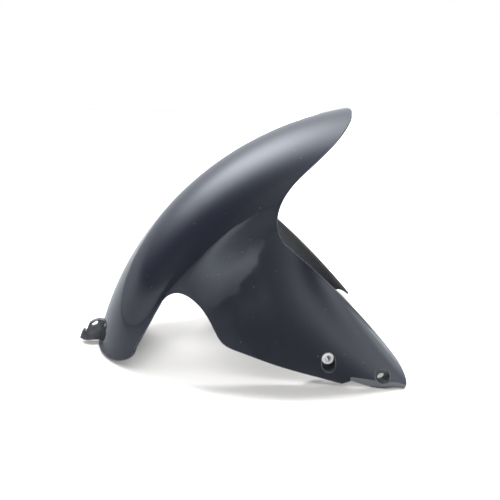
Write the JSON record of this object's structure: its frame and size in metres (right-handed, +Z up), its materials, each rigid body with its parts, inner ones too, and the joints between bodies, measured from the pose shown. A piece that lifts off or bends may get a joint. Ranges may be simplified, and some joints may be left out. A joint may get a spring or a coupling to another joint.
{
  "type": "motorcycle front mudguard",
  "caption": "Motorcycle front mudguard: arched crown with a pointed front and a rear tongue, flared fork-leg flaps with bushed fixing holes, and a hose clip at the rear.",
  "frame": {"origin": "on the floor, under the middle of the part's bounding box", "axes": "+X forward, towards the pointed front; Y across the wheel, with the middle plane at Y = 0; +Z up"},
  "size_m": [0.3104, 0.2586, 0.2407],
  "materials": {
    "black_plastic": "semi-gloss black moulding",
    "bush_steel": "zinc plated",
    "clip_plastic": "matt black moulding"
  },
  "bodies": {
    "root": {"mudguard": "black_plastic", "fixing_bushes": "bush_steel", "hose_clip": "clip_plastic"}
  },
  "joints": []
}
